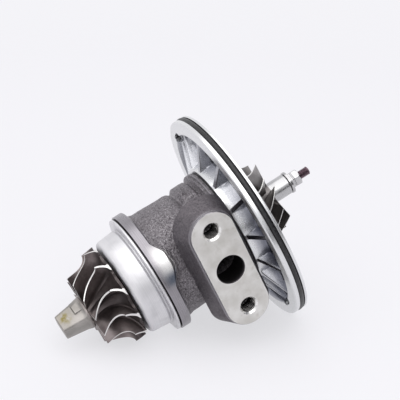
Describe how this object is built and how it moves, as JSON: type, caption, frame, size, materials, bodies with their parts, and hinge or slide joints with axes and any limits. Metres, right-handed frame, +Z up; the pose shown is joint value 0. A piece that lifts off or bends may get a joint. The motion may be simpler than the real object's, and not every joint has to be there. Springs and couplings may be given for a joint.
{
  "type": "turbocharger cartridge",
  "caption": "Turbocharger centre cartridge: bladed turbine and compressor wheels on one shaft that spins in a cast bearing housing with an oil drain pad and a ribbed backplate.",
  "frame": {"origin": "on the shaft axis, in the plane of the turbine flange's front edge", "axes": "+X along the shaft towards the compressor, -Y the way the oil drain pad faces, +Z up"},
  "size_m": [0.1337, 0.1024, 0.1024],
  "materials": {
    "cast_housing": "rough sand-cast skin, machined flanges and pad",
    "shield_sheet": "pressed stainless sheet, bright turned finish",
    "ring_iron": "fine ground",
    "spring_steel": "plain",
    "bearing_bronze": "turned",
    "ground_steel": "ground",
    "gasket_sheet": "matt",
    "cast_aluminium": "die cast with turned rim",
    "seal_rubber": "satin",
    "black_steel": "black oxide",
    "hot_alloy": "investment cast, ground blade edges",
    "shaft_steel": "heat-tinted steel",
    "wheel_aluminium": "cast, turned tips",
    "bright_steel": "bright plated"
  },
  "bodies": {
    "housing": {"bearing_housing": "cast_housing", "heat_shield": "shield_sheet", "turbine_seal_ring": "ring_iron", "bush_circlips": "spring_steel", "thrust_bearing": "bearing_bronze", "thrust_pin": "ground_steel", "oil_baffle": "shield_sheet", "flange_gasket": "gasket_sheet", "backplate": "cast_aluminium", "backplate_o_ring": "seal_rubber", "backplate_screws": "black_steel", "compressor_seal_ring": "ring_iron"},
    "rotor": {"turbine_wheel": "hot_alloy", "rotor_shaft": "shaft_steel", "thrust_collar": "ground_steel", "thrust_spacer": "ground_steel", "seal_sleeve": "ground_steel", "compressor_wheel": "wheel_aluminium", "shaft_nut": "bright_steel"},
    "turbine_float": {"turbine_bush": "bearing_bronze"},
    "compressor_float": {"compressor_bush": "bearing_bronze"}
  },
  "joints": [
    {"name": "rotor_spin", "type": "hinge", "parent": "housing", "child": "rotor", "pos_m": [0, 0, 0], "axis": [1, 0, 0], "continuous": true},
    {"name": "turbine_bush_spin", "type": "hinge", "parent": "housing", "child": "turbine_float", "pos_m": [0.0072, 0, 0], "axis": [1, 0, 0], "continuous": true},
    {"name": "compressor_bush_spin", "type": "hinge", "parent": "housing", "child": "compressor_float", "pos_m": [0.0288, 0, 0], "axis": [1, 0, 0], "continuous": true}
  ]
}
